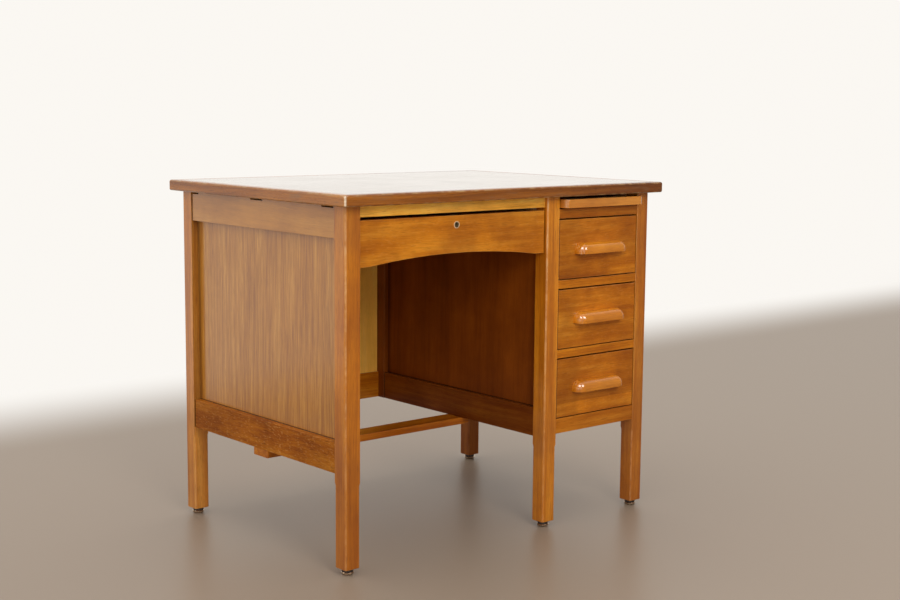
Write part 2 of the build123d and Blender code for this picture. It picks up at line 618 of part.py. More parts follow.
def lock_case(case_front, back, top, slot_y):
    """A box let into the back of the drawer front, closed by a plate that is bent over the front's top."""
    plate_y = (back, back + LOCK_PLATE)
    case = board(lock_span(CASE_HALF_WIDTH), (case_front, back), (CASE_BOTTOM, top))
    case = case + board(lock_span(LOCK_PLATE_HALF_WIDTH), (case_front, plate_y[1]), (top - SELVEDGE, top))
    case = case + board(lock_span(LOCK_PLATE_HALF_WIDTH), plate_y, (LOCK_PLATE_BOTTOM, top))
    cavity_y = (case_front + CASE_WALL, back - CASE_BACK_WALL)
    cavity_z = (CASE_BOTTOM + CASE_SIDE_WALL, top - SELVEDGE)
    case = case - board(lock_span(CASE_HALF_WIDTH - CASE_SIDE_WALL), cavity_y, cavity_z)
    slot_z = (top - 2 * SELVEDGE, top + SELVEDGE)
    case = case - board(lock_span(BOLT_HALF_WIDTH + RUNNING_GAP), slot_y, slot_z)
    return case - bore_along_y(PLUG_BORE, (case_front - CASE_WALL, cavity_y[0] + RUNNING_GAP))


def lock_bolt(bolt_y, top):
    """A flat bolt with a wider foot behind it, which the cam arm lifts."""
    foot_z = LOCK_Z + BOLT_FOOT_RAISE
    bolt = board(lock_span(BOLT_HALF_WIDTH), bolt_y, (foot_z, top))
    foot_y = (bolt_y[1], bolt_y[1] + FOOT_THICKNESS)
    return bolt + board(lock_span(FOOT_HALF_WIDTH), foot_y, (foot_z, foot_z + FOOT_HEIGHT))


def lock_plug(plug_front, case_front, bolt_back):
    """The plug with its keyhole, its stem past the bolt, and the cam arm on the stem."""
    shoulder = case_front + CASE_WALL - RUNNING_GAP
    cam_y = (bolt_back + RUNNING_GAP, bolt_back + RUNNING_GAP + CAM_THICKNESS)
    plug = bore_along_y(PLUG_RADIUS, (plug_front, shoulder))
    plug = plug + bore_along_y(PLUG_STEM, (shoulder, cam_y[1]))
    plug = plug + board((LOCK_X, LOCK_X + CAM_REACH), cam_y, (LOCK_Z - CAM_RADIUS, LOCK_Z + CAM_RADIUS))
    plug = plug + Pos(CAM_REACH, 0, 0) * bore_along_y(CAM_RADIUS, cam_y)
    return plug - keyhole(plug_front)


def strike_plate(slot_y, top):
    """The plate on the kneehole rail's underside, and the mortise through it that takes the bolt."""
    mortise_y = (slot_y[0] - MORTISE_GAP, slot_y[1] + MORTISE_GAP)
    mortise_z = (KNEEHOLE_RAIL[0], top + BOLT_TRAVEL + MORTISE_HEADROOM)
    mortise = board(lock_span(MORTISE_HALF_WIDTH), mortise_y, mortise_z)
    strike_y = (mortise_y[0] - STRIKE_MARGINS[0], mortise_y[1] + STRIKE_MARGINS[1])
    strike_z = (KNEEHOLE_RAIL[0], KNEEHOLE_RAIL[0] + LOCK_PLATE)
    return board(lock_span(STRIKE_HALF_WIDTH), strike_y, strike_z), mortise


def lock_seats(front_y):
    """What is cut from the drawer front to take the plug, the case and the plate's top strip."""
    face, back = front_y
    top = CENTRE_FRONT[1]
    seat_y = (back - CASE_DEPTH, back)
    bore = bore_along_y(PLUG_BORE, (face - PLUG_PROUD, back))
    case_seat = board(lock_span(CASE_HALF_WIDTH), seat_y, (CASE_BOTTOM, top))
    strip_seat = board(lock_span(LOCK_PLATE_HALF_WIDTH), seat_y, (top - SELVEDGE, top + SELVEDGE))
    return bore, case_seat, strip_seat


def bore_along_y(radius, y_span):
    """A cylinder on the lock's axis between two Y values."""
    low, high = y_span
    return Pos(LOCK_X, (low + high) / 2, LOCK_Z) * Rot(90, 0, 0) * Cylinder(radius, high - low)


def keyhole(face):
    """The keyhole in the plug: a round head over a narrow slot."""
    head_z = LOCK_Z + KEYHOLE_RAISE
    head = Pos(LOCK_X, face + KEYHOLE_DEPTH / 2, head_z)
    head = head * Rot(90, 0, 0) * Cylinder(KEYHOLE_RADIUS, KEYHOLE_DEPTH)
    slot_z = (LOCK_Z - KEY_SLOT_DROP, head_z)
    return head + board(lock_span(KEYHOLE_RADIUS / 2), (face, face + KEYHOLE_DEPTH), slot_z)


# ------------------------------------------------------------- writing slide

def writing_slide():
    """The pull-out board, its rounded lip and the stop block on its back end."""
    lip_y = (-FRAME_Y - SLIDE_PROJECTION, -FRAME_Y - SLIDE_PROJECTION + SLIDE_LIP_DEPTH)
    lip = board((PEDESTAL[0] + SLIDE_LIP_GAP, PEDESTAL[1] - SLIDE_LIP_GAP), lip_y, SLIDE_LIP)
    corners = [edge for edge in lip.edges().filter_by(Axis.Z) if edge.center().Y < sum(lip_y) / 2]
    lip = fillet(corners, SLIDE_CORNER_RADIUS)
    for end in (0, -1):
        face = lip.faces().sort_by(Axis.Z)[end]
        rim = [edge for edge in face.edges() if edge.center().Y < lip_y[1] - EASING]
        lip = fillet(rim, FRONT_EASING)
    board_x = (PEDESTAL[0] + SLIDE_BOARD_GAP, PEDESTAL[1] - SLIDE_BOARD_GAP)
    slide = board(board_x, (lip_y[1], SLIDE_BACK_Y), SLIDE_BOARD)
    third = (SLIDE_BOARD[1] - SLIDE_BOARD[0]) / 3
    tongue_z = (SLIDE_BOARD[0] + third, SLIDE_BOARD[1] - third)
    tongue_x = (board_x[0] + SLIDE_TONGUE_SET_IN, board_x[1] - SLIDE_TONGUE_SET_IN)
    slide = slide + board(tongue_x, (lip_y[1] - SLIDE_TONGUE, lip_y[1]), tongue_z)
    block_x = (PEDESTAL_CENTRE - SLIDE_STOP_HALF_WIDTH, PEDESTAL_CENTRE + SLIDE_STOP_HALF_WIDTH)
    block_y = (SLIDE_STOP_Y, SLIDE_STOP_Y + SLIDE_STOP_DEPTH)
    block = board(block_x, block_y, (SLIDE_BOARD[1], SLIDE_BOARD[1] + SLIDE_STOP_HEIGHT))
    return housed(lip, slide), slide, block


# ------------------------------------------------------------------ assembly

def frame_nodes():
    """Every piece that stands still."""
    nodes = {}
    panel, edging = desktop()
    legs, centres = floor_legs()
    post = board((PEDESTAL_LEG_X, PEDESTAL[0]), (FRAME_Y - LEG, FRAME_Y), (LOWER_RAIL[0], TOP_UNDERSIDE))
    post = fillet(post.edges().filter_by(Axis.Z), EASING)
    caps, cushions = glides(centres)

    left_top, left_lower, left_panel = left_end()
    inner_top, inner_lower, inner_panel = inner_side()
    knee_top, knee_lower, modesty_panel = back_frame(KNEEHOLE)
    ped_top, ped_lower, pedestal_back = back_frame(PEDESTAL)
    notches, fasteners = top_fasteners()
    left_top = housed(left_top, *notches)
    all_fasteners = fasteners + [across(piece) for piece in fasteners]
    right_top, right_lower, right_panel = (across(piece) for piece in (left_top, left_lower, left_panel))

    bottoms, opening = opening_bottoms()
    dividers = [pedestal_front_rail((z - DIVIDER, z)) for z in bottoms[1:]]
    bottom_rail = pedestal_front_rail(BOTTOM_RAIL)
    slide_rail = pedestal_front_rail(SLIDE_RAIL)
    knee_rail = kneehole_front_rail()
    runners = []
    for z in bottoms:
        runner = drawer_runner(z)
        runners += [runner, across_pedestal(runner)]
    dividers = [housed(divider, *runners) for divider in dividers]
    bottom_rail = housed(bottom_rail, *runners[:2])

    left_rail_face = SIDE_RAIL_RECESS - FRAME_X + RAIL_THICKNESS
    inner_rail_face = PEDESTAL_LEG_X + INNER_RAIL_RECESS
    box_faces = (KNEEHOLE[0] + CENTRE_GAP + CENTRE_BOX_INSET, KNEEHOLE[1] - CENTRE_GAP - CENTRE_BOX_INSET)
    centre_runners = [centre_drawer_runner(left_rail_face, box_faces[0], 1),
                      centre_drawer_runner(inner_rail_face, box_faces[1], -1)]
    left_slide_runner = slide_runner()
    right_slide_runner = housed(across_pedestal(left_slide_runner), *all_fasteners)
    foot, foot_screws = foot_rail()

    entering = [left_top, left_lower, left_panel, inner_top, inner_lower, inner_panel, knee_top, knee_lower,
                modesty_panel, ped_top, ped_lower, pedestal_back, right_top, right_lower, right_panel,
                bottom_rail, slide_rail, knee_rail, *dividers, *caps]
    for name, blank in legs.items():
        nodes[name] = housed(blank, *entering)
    nodes["back_middle_post"] = housed(post, *entering)
    nodes["top_panel"] = housed(panel, *all_fasteners)
    nodes["top_edging"] = edging
    nodes["left_top_rail"] = housed(left_top, *fasteners)
    nodes["left_lower_rail"] = housed(left_lower, *foot_screws)
    nodes["left_panel"] = left_panel
    nodes["right_top_rail"] = housed(right_top, *all_fasteners)
    nodes["right_lower_rail"] = right_lower
    nodes["right_panel"] = right_panel
    nodes["inner_top_rail"] = inner_top
    nodes["inner_lower_rail"] = housed(inner_lower, *foot_screws)
    nodes["inner_panel"] = inner_panel
    nodes["back_top_rails"] = group(knee_top, ped_top)
    nodes["back_lower_rails"] = group(knee_lower, ped_lower)
    nodes["modesty_panel"] = modesty_panel
    nodes["pedestal_back_panel"] = pedestal_back
    nodes["slide_rail"] = slide_rail
    nodes["drawer_dividers"] = group(*dividers)
    nodes["pedestal_bottom_rail"] = bottom_rail
    nodes["drawer_runners"] = group(*runners)
    nodes["centre_drawer_runners"] = group(*centre_runners)
    nodes["slide_runners"] = group(left_slide_runner, right_slide_runner)
    nodes["slide_stop_batten"] = slide_stop_batten()
    nodes["foot_rail"] = housed(foot, *foot_screws)
    nodes["foot_rail_screws"] = group(*foot_screws)
    nodes["top_fasteners"] = group(*all_fasteners)
    nodes["glide_caps"] = group(*caps)
    nodes["glide_cushions"] = group(*cushions)
    return nodes, knee_rail


def moving_nodes():
    """Every piece that slides or turns, and the cut-outs that the lock needs in the kneehole rail."""
    nodes = {}
    bottoms, opening = opening_bottoms()
    for name, z in zip(("lower", "middle", "upper"), bottoms):
        for piece, solid in pedestal_drawer(z, opening).items():
            nodes[f"{name}_drawer_{piece}"] = solid
    lip, slide, block = writing_slide()
    nodes["slide_lip"] = lip
    nodes["slide_board"] = group(slide, block)
    front, sides, back, bottom, front_y = centre_drawer()
    case, plug, bolt, ring, strike, mortise = lock_pieces(front_y)
    nodes["centre_drawer_front"] = housed(front, ring, *lock_seats(front_y))
    nodes["centre_drawer_sides"] = group(*sides)
    nodes["centre_drawer_back"] = back
    nodes["centre_drawer_bottom"] = bottom
    nodes["lock_case"] = case
    nodes["lock_plug"] = plug
    nodes["lock_bolt"] = bolt
    nodes["escutcheon"] = ring
    nodes["strike_plate"] = strike - mortise
    return nodes, strike, mortise


def main():
    nodes, knee_rail = frame_nodes()
    moving, strike, mortise = moving_nodes()
    nodes.update(moving)
    nodes["kneehole_front_rail"] = housed(knee_rail, strike, mortise)
    os.makedirs("parts", exist_ok=True)
    for name, shape in nodes.items():
        export_step(shape, f"parts/{name}.step")
        print(name, len(shape.solids()))
    print(len(nodes), "nodes")


main()
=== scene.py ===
import math
from collections import namedtuple

import bpy
from mathutils import Matrix, Vector


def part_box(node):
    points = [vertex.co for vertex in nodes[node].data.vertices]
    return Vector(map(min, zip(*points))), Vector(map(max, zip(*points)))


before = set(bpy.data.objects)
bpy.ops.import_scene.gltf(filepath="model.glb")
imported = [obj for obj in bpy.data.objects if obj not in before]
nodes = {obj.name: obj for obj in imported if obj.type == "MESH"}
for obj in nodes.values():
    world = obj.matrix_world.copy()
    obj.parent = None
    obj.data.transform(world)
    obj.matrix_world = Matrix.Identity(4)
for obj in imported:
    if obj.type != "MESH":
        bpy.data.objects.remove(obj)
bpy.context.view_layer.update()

# A single-pedestal oak teacher's desk. Everything is in metres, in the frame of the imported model:
# +X to the sitter's right, -Y towards the sitter, +Z up, the origin on the floor under the desktop.

WIDTH_AXIS, DEPTH_AXIS, HEIGHT_AXIS = 0, 1, 2

# Camera
CAMERA_PLACE = (-2.1357, -2.6152, 0.9530)
CAMERA_YAW = math.radians(40.49)        # from +Y towards +X
CAMERA_PITCH = math.radians(-7.67)
CAMERA_ROLL = math.radians(0.49)
SENSOR_WIDTH = 36.0
FOCAL_LENGTH = 58.52

# Room
BACKDROP = (0.965, 0.935, 0.890)
DIM = (0.385, 0.330, 0.270)             # the colour of the room's dim side
DIM_SIDE = (0.66, -0.75, -0.08)         # the direction of the dim side, in front to the right
DIM_START, DIM_END = 0.30, 0.86         # over these cosines of the angle to it the backdrop turns dim
FLOOR_SIZE = 80.0
FLOOR_COLOUR = (0.30, 0.235, 0.18)
FLOOR_ROUGHNESS = 0.36
FLOOR_SPECULAR = 0.22
SWEEP_START, SWEEP_END = 1.1, 1.9       # behind the desk, where the floor sweeps up into the backdrop
FAR_START, FAR_END = 3.5, 12.0          # distances over which it does so on every other side

# Lights: where each one stands and looks, its size, its watts, and whether matt and shiny surfaces see it.
# Two tall strips near the camera draw bright lines down rounded edges, and the key light is for matt wood
# only. The lamps are for gloss only: they dot the round ends of the drawer pulls.
DESK_MIDDLE = (0.0, 0.0, 0.5)
ORIGIN = (0.0, 0.0, 0.0)
WARM_WHITE = (1.0, 0.97, 0.93)
Softbox = namedtuple("Softbox", "place target size power matt shiny")
SOFTBOXES = {   # name: (place, target, size, power, matt, shiny)
    "strip_left": Softbox((-3.1, -2.3, 1.0), DESK_MIDDLE, (0.22, 1.9), 5.0, True, True),
    "strip_front": Softbox((-1.4, -3.6, 1.0), DESK_MIDDLE, (0.22, 1.9), 6.0, True, True),
    "key": Softbox((-1.0, -3.4, 2.3), DESK_MIDDLE, (1.4, 1.4), 44.0, True, False),
    "lamp_left": Softbox((-2.7, 0.6, 2.0), DESK_MIDDLE, (1.3, 1.3), 60.0, False, True),
    "lamp_middle": Softbox((-1.7, -2.0, 2.9), DESK_MIDDLE, (1.4, 1.4), 75.0, False, True),
    "lamp_front": Softbox((0.6, -3.1, 2.6), DESK_MIDDLE, (1.4, 1.4), 75.0, False, True),
    "overhead": Softbox((0.2, 0.2, 3.4), ORIGIN, (3.2, 3.2), 14.0, True, True),
}


# ------------------------------------------------------------------ node trees

class Tree:
    """A node tree with one short call for each kind of node used below."""

    def __init__(self, owner):
        owner.use_nodes = True
        self.nodes = owner.node_tree.nodes
        self.links = owner.node_tree.links
        self.nodes.clear()

    def node(self, kind, inputs=(), **settings):
        made = self.nodes.new(kind)
        for name, value in settings.items():
            setattr(made, name, value)
        for key, value in dict(inputs).items():
            self.feed(made.inputs[key], value)
        return made

    def feed(self, socket, value):
        """Sets a socket to a number or colour, or links an output to it."""
        if isinstance(value, bpy.types.NodeSocket):
            self.links.new(value, socket)
        elif socket.type == "RGBA" and len(value) == 3:
            socket.default_value = (*value, 1.0)
        else:
            socket.default_value = value

    def place(self):
        """The shaded point in the object's own coordinates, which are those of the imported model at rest."""
        return self.node("ShaderNodeTexCoord").outputs["Object"]

    def normal(self):
        return self.node("ShaderNodeTexCoord").outputs["Normal"]

    def parts(self, vector):
        """The X, Y and Z outputs of a vector."""
        return self.node("ShaderNodeSeparateXYZ", {"Vector": vector}).outputs

    def math(self, operation, first, second=0.0):
        return self.node("ShaderNodeMath", {0: first, 1: second}, operation=operation).outputs[0]

    def vector(self, operation, first, second):
        return self.node("ShaderNodeVectorMath", {0: first, 1: second}, operation=operation).outputs[0]

    def noise(self, where, scale, detail=2.0, roughness=0.5, output="Fac"):
        """Noise values that centre on 0.5. scale is in turns per metre, or one such number for each axis."""
        if isinstance(scale, tuple):
            where = self.vector("MULTIPLY", where, scale)
            scale = 1.0
        inputs = {"Vector": where, "Scale": scale, "Detail": detail, "Roughness": roughness}
        return self.node("ShaderNodeTexNoise", inputs).outputs[output]

    def stretch(self, value, low, high, to_low=0.0, to_high=1.0):
        """Maps low..high smoothly to to_low..to_high."""
        inputs = {"Value": value, "From Min": low, "From Max": high, "To Min": to_low, "To Max": to_high}
        made = self.node("ShaderNodeMapRange", inputs, interpolation_type="SMOOTHSTEP")
        return made.outputs["Result"]

    def ramp(self, value, stops):
        """A colour ramp with (position, colour) stops."""
        made = self.node("ShaderNodeValToRGB", {"Fac": value})
        elements = made.color_ramp.elements
        while len(elements) < len(stops):
            elements.new(0.5)
        for element, (position, colour) in zip(elements, stops):
            element.position = position
            element.color = (*colour, 1.0)
        return made.outputs["Color"]

    def mix(self, share, first, second, blend="MIX"):
        """A mix of two colours. Sockets 6 and 7 are the mix node's colours, and output 2 is its result."""
        made = self.node("ShaderNodeMix", data_type="RGBA", blend_type=blend)
        self.feed(made.inputs[0], share)
        self.feed(made.inputs[6], first)
        self.feed(made.inputs[7], second)
        return made.outputs[2]

    def mix_numbers(self, share, first, second):
        return self.node("ShaderNodeMix", {0: share, 2: first, 3: second}, data_type="FLOAT").outputs[0]

    def bump(self, height, strength, distance):
        inputs = {"Height": height, "Strength": strength, "Distance": distance}
        return self.node("ShaderNodeBump", inputs).outputs["Normal"]

    def finish(self, shader, kind="ShaderNodeOutputMaterial"):
        self.node(kind, {"Surface": shader})

    def surface(self, colour, roughness, normal, more=()):
        """Ends the tree in a principled shader. more holds the inputs that only some materials set."""
        inputs = {"Base Color": colour, "Roughness": roughness, "Normal": normal, **dict(more)}
        self.finish(self.node("ShaderNodeBsdfPrincipled", inputs).outputs["BSDF"])


# ----------------------------------------------------------------------- woods

# Palettes are linear colours: dark latewood, the body of the wood, and its pale streaks.
HONEY = ((0.360, 0.090, 0.003), (0.505, 0.154, 0.006), (0.640, 0.240, 0.018))
AMBER = ((0.390, 0.105, 0.003), (0.545, 0.176, 0.007), (0.670, 0.265, 0.020))
TAN = ((0.320, 0.108, 0.006), (0.438, 0.167, 0.011), (0.570, 0.262, 0.038))
STRAW = ((0.400, 0.120, 0.007), (0.600, 0.212, 0.021), (0.740, 0.325, 0.050))
GOLD = ((0.560, 0.230, 0.018), (0.840, 0.400, 0.050), (0.940, 0.540, 0.100))
# CREAM is painted light, for the modesty panel's kneehole face; RUSSET is painted shade, for faces deep in
# the kneehole
CREAM = ((0.800, 0.400, 0.055), (0.960, 0.525, 0.090), (0.980, 0.600, 0.140))
RUSSET = ((0.120, 0.026, 0.002), (0.205, 0.046, 0.003), (0.270, 0.066, 0.005))
WALNUT = ((0.210, 0.060, 0.006), (0.370, 0.122, 0.013), (0.500, 0.195, 0.030))
OLIVE = ((0.150, 0.068, 0.014), (0.230, 0.118, 0.028), (0.300, 0.168, 0.046))
BIRCH = ((0.420, 0.240, 0.105), (0.600, 0.390, 0.190), (0.700, 0.480, 0.260))
PORE_TONE = 0.6                         # of the pores, beside the latewood
RAY_FLECK = (0.780, 0.390, 0.100)       # the pale rays that show as flecks on quartered oak
RUBBED_AND_HIGHLIT = (0.800, 0.490, 0.220)          # bare wood on edges that have lost their lacquer, which also serves as a painted highlight along them
# dirt in the joints, and painted shade and shadow lines where parts shade each other
DIRT_AND_SHADE = (0.030, 0.010, 0.003)
EDGING_SMEAR = (0.210, 0.120, 0.065)    # grey wear on the desktop's lipping
EDGING_RUBBED = (0.400, 0.230, 0.095)   # its edges, and its bare corners, whose pale colour is also a painted highlight
BARE_AND_HIGHLIT_CORNER = (0.850, 0.720, 0.550)
RUBBER_BODY = (0.030, 0.020, 0.015)
RUBBER_DUST = (0.090, 0.070, 0.055)

# Each layer of the figure is noise with so many turns per metre across the grain and along it.
Layer = namedtuple("Layer", "across along detail")
BANDS = Layer(22.0, 1.4, 2.0)
RINGS = Layer(105.0, 2.6, 3.0)
FIBRES = Layer(480.0, 10.0, 2.0)
PORES = Layer(1100.0, 40.0, 1.0)
RAYS = Layer(300.0, 100.0, 2.0)
BAND_WEIGHT = 1.6
RING_WEIGHT = 1.4
PALETTE_STOPS = (0.12, 0.50, 0.90)      # where the three colours of a palette sit on its ramp
SWAY_ACROSS, SWAY_ALONG = 5.0, 1.6      # turns per metre of the grain lines' wandering
SWAY = 0.035                            # and how far they wander

# Turns per metre of what lies over the figure: patches in the old finish, pale edges that are rubbed bare and
# also a painted highlight, grey smears on the desktop's lipping, scratches in metal and the grain of rubber
PATCH_SCALE = 8.0
RUB_SCALE = 38.0
EDGING_RUB_SCALE = 45.0
SMEAR_SCALE = (9.0, 9.0, 60.0)
SCRATCH_SCALE = (900.0, 300.0, 3000.0)
RUBBER_SCALE = 900.0

# The range of a noise over which each mask rises
RAY_RISE = (0.55, 0.68)
PORE_RISE = (0.56, 0.70)
PATCH_RISE = (0.28, 0.72)
RUB_RISE = (0.30, 0.70)
GLOSS_RISE = (0.25, 0.75)
SMEAR_RISE = (0.55, 0.72)
EDGING_RUB_RISE = (0.42, 0.64)
EDGING_CORNER_RISE = (0.38, 0.60)
EDGING_GLOSS_RISE = (0.30, 0.70)
TARNISH_RISE = (0.42, 0.66)

# The same for a normal's largest part, at a rounded edge, and for its X and Y parts, at an upright corner
EDGE_RISE = (0.985, 0.90)
CORNER_RISE = (0.35, 0.60)

# How far fibres stand up and pores are sunk, as shares of a relief in metres
FIBRE_SHARE, PORE_SHARE = 0.6, 0.8
RELIEF = 0.0005
EDGING_RELIEF = 0.0006
SCRATCH_RELIEF = 0.0002
RUBBER_RELIEF = 0.0003

# How strong each layer of the figure is, and how much shorter its streaks are than long grain.
Figure = namedtuple("Figure", "bands rings fibres pores flecks cloud shortness")
LONG = Figure(bands=0.85, rings=0.80, fibres=0.60, pores=0.50, flecks=0.0, cloud=0.13, shortness=1.0)
FINE = Figure(bands=0.30, rings=0.75, fibres=1.50, pores=0.40, flecks=0.0, cloud=0.06, shortness=1.2)
VENEER = Figure(bands=0.35, rings=0.85, fibres=0.90, pores=0.50, flecks=0.0, cloud=0.07, shortness=0.7)
MOTTLED = Figure(bands=0.85, rings=0.60, fibres=0.50, pores=0.45, flecks=0.10, cloud=0.22, shortness=2.4)
RAYED = Figure(bands=1.10, rings=0.90, fibres=0.70, pores=0.80, flecks=0.50, cloud=0.18, shortness=3.0)
QUIET = Figure(bands=0.45, rings=0.35, fibres=0.30, pores=0.25, flecks=0.0, cloud=0.12, shortness=2.0)

# How glossy the lacquer is, and how pale the edges are: rubbed bare, and a painted highlight.
Finish = namedtuple("Finish", "roughness specular coat coat_roughness coat_ior wear")
SATIN = Finish(roughness=0.34, specular=0.15, coat=0.22, coat_roughness=0.09, coat_ior=1.5, wear=0.25)
OLD_SATIN = Finish(roughness=0.34, specular=0.32, coat=0.50, coat_roughness=0.09, coat_ior=1.5, wear=0.6)
SHEEN = Finish(roughness=0.34, specular=0.42, coat=0.68, coat_roughness=0.09, coat_ior=1.5, wear=0.5)
POLISHED = Finish(roughness=0.20, specular=0.40, coat=1.00, coat_roughness=0.08, coat_ior=1.6, wear=0.0)
HANDLED = Finish(roughness=0.12, specular=0.05, coat=1.00, coat_roughness=0.02, coat_ior=1.65, wear=0.0)
DULL = Finish(roughness=0.48, specular=0.08, coat=0.03, coat_roughness=0.20, coat_ior=1.5, wear=0.2)
BARE = Finish(roughness=0.55, specular=0.20, coat=0.0, coat_roughness=0.30, coat_ior=1.5, wear=0.2)


def grain_space(tree, along, seed):
    """The object's coordinates, moved by the seed so that no two boards match, and bent a little."""
    offset = (1.37 * seed, 2.11 * seed, 0.83 * seed)
    space = tree.vector("ADD", tree.place(), offset)
    scales = [SWAY_ACROSS] * 3
    scales[along] = SWAY_ALONG
    sway = tree.noise(space, tuple(scales), detail=1.5, output="Color")
    sway = tree.vector("SUBTRACT", sway, (0.5, 0.5, 0.5))
    sway = tree.vector("MULTIPLY", sway, (SWAY, SWAY, SWAY))
    return tree.vector("ADD", space, sway)


def streaks(tree, space, along, layer, shortness=1.0):
    """A layer's noise, drawn out along the grain."""
    scales = [layer.across] * 3
    scales[along] = layer.along * shortness
    return tree.noise(space, tuple(scales), layer.detail)


def edge_mask(tree):
    """1 where the surface is a rounded edge between two flat faces, 0 on the faces."""
    sizes = [tree.math("ABSOLUTE", part) for part in tree.parts(tree.normal())]
    largest = tree.math("MAXIMUM", tree.math("MAXIMUM", sizes[0], sizes[1]), sizes[2])
    return tree.stretch(largest, *EDGE_RISE)


def corner_mask(tree):
    """1 on the rounded upright corner between two sides, 0 elsewhere."""
    normal = tree.parts(tree.normal())
    across_x = tree.stretch(tree.math("ABSOLUTE", normal["X"]), *CORNER_RISE)
    across_y = tree.stretch(tree.math("ABSOLUTE", normal["Y"]), *CORNER_RISE)
    return tree.math("MULTIPLY", across_x, across_y)


def dirt_and_shade_mask(tree, seams):
    """
    How dark dirt in the joints, and painted shade where parts shade each other, make each place. A seam is
    (axis, where along it, half its width, strength).
    Below the lower rails no boards meet, so there is neither dirt nor painted shade there.
    """
    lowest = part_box("left_lower_rail")[0].z
    place = tree.parts(tree.place())
    mask = 0.0
    for axis, where, half, strength in seams:
        away = tree.math("ABSOLUTE", tree.math("SUBTRACT", place[axis], where))
        mask = tree.math("MAXIMUM", mask, tree.stretch(away, SEAM_CORE * half, half, strength, 0.0))
    return tree.math("MULTIPLY", mask, tree.stretch(place["Z"], lowest, lowest + SEAM_FADE))


def figured_colour(tree, space, along, palette, figure):
    """The wood's own colour, its pores, and the fibres that its bump follows."""
    fibres = streaks(tree, space, along, FIBRES, figure.shortness)
    layers = (
        (streaks(tree, space, along, BANDS, figure.shortness), BAND_WEIGHT * figure.bands),
        (streaks(tree, space, along, RINGS, figure.shortness), RING_WEIGHT * figure.rings),
        (fibres, figure.fibres),
    )
    value = 0.5
    for layer, weight in layers:
        value = tree.math("ADD", tree.math("MULTIPLY", tree.math("SUBTRACT", layer, 0.5), weight), value)
    colour = tree.ramp(value, list(zip(PALETTE_STOPS, palette)))
    if figure.flecks:
        rays = streaks(tree, space, along, RAYS)
        colour = tree.mix(tree.stretch(rays, *RAY_RISE, 0.0, figure.flecks), colour, RAY_FLECK)
    pore_mask = tree.stretch(streaks(tree, space, along, PORES), *PORE_RISE, 0.0, figure.pores)
    pore_colour = [PORE_TONE * part for part in palette[0]]
    return tree.mix(pore_mask, colour, pore_colour), pore_mask, fibres


def grain_bump(tree, fibres, pore_mask, strength, distance):
    """Fibres stand up a little and pores are sunk."""
    raised = tree.math("MULTIPLY", fibres, FIBRE_SHARE)
    sunk = tree.math("MULTIPLY", pore_mask, PORE_SHARE)
    return tree.bump(tree.math("SUBTRACT", raised, sunk), strength, distance)


def shaded(tree, colour, shade):
    """The colour times a number. Oak under old lacquer turns redder where it is darker."""
    deeper = tree.math("POWER", shade, 1.25)
    tint = tree.node("ShaderNodeCombineColor", {0: shade, 1: deeper, 2: deeper}).outputs[0]
    return tree.mix(1.0, colour, tint, "MULTIPLY")


def wood(name, along, seed, palette, figure, tone, finish, seams=(), strip=None, inside=None):
    """
    Lacquered oak whose grain runs along one axis. strip is (level, tone) of a piece glued on below a level.
    inside is the palette and figure of every face but the one that looks back, away from the sitter.
    """
    material = bpy.data.materials.new(name)
    tree = Tree(material)
    space = grain_space(tree, along, seed)
    colour, pore_mask, fibres = figured_colour(tree, space, along, palette, figure)

    # faces other than the back one take the inside palette: painted light or shade on boards that face into
    # the kneehole
    if inside:
        inner_colour = figured_colour(tree, space, along, *inside)[0]
        looks_back = tree.math("GREATER_THAN", tree.parts(tree.normal())["Y"], 0.5)
        colour = tree.mix(looks_back, inner_colour, colour)

    # the finish has aged unevenly, in soft patches, and painted shade darkens it near the floor
    patches = tree.noise(space, PATCH_SCALE, detail=3.5, roughness=0.6)
    shade = tree.stretch(patches, *PATCH_RISE, (1 - figure.cloud) * tone, (1 + figure.cloud) * tone)
    height = tree.parts(tree.place())["Z"]
    shade = tree.math("MULTIPLY", shade, tree.stretch(height, *FOOT_SHADE_HEIGHTS, FOOT_SHADE_TONE, 1.0))
    if strip:
        strip_level, strip_tone = strip
        below = tree.math("LESS_THAN", height, strip_level)
        shade = tree.math("MULTIPLY", shade, tree.stretch(below, 0.0, 1.0, 1.0, strip_tone))
    colour = shaded(tree, colour, shade)

    # sleeves and hands rub the lacquer off the edges, and the pale edges are also a painted highlight; both
    # are stronger high up
    if finish.wear:
        rub = tree.noise(space, RUB_SCALE, detail=3.0, roughness=0.65)
        rub = tree.stretch(rub, *RUB_RISE, 0.2 * finish.wear, finish.wear)
        pale_edges = tree.math("MULTIPLY", edge_mask(tree), rub)
        high_up = tree.stretch(height, *PALE_EDGE_HEIGHTS, FOOT_EDGE_SHARE, 1.0)
        colour = tree.mix(tree.math("MULTIPLY", pale_edges, high_up), colour, RUBBED_AND_HIGHLIT)
    # dark seams: dirt in the joints, and painted shade and shadow lines where parts shade each other
    if seams:
        colour = tree.mix(dirt_and_shade_mask(tree, seams), colour, DIRT_AND_SHADE)

    # patches of old finish differ in gloss too, and pores are matt
    gloss = tree.stretch(patches, *GLOSS_RISE, finish.roughness + 0.06, finish.roughness - 0.05)
    gloss = tree.math("ADD", gloss, tree.math("MULTIPLY", pore_mask, 0.12))
    bump = grain_bump(tree, fibres, pore_mask, 0.5 * finish.roughness, RELIEF)
    tree.surface(colour, gloss, bump, {
        "Specular IOR Level": finish.specular,
        "Coat Weight": finish.coat,
        "Coat Roughness": finish.coat_roughness,
        "Coat IOR": finish.coat_ior,
    })
    return material


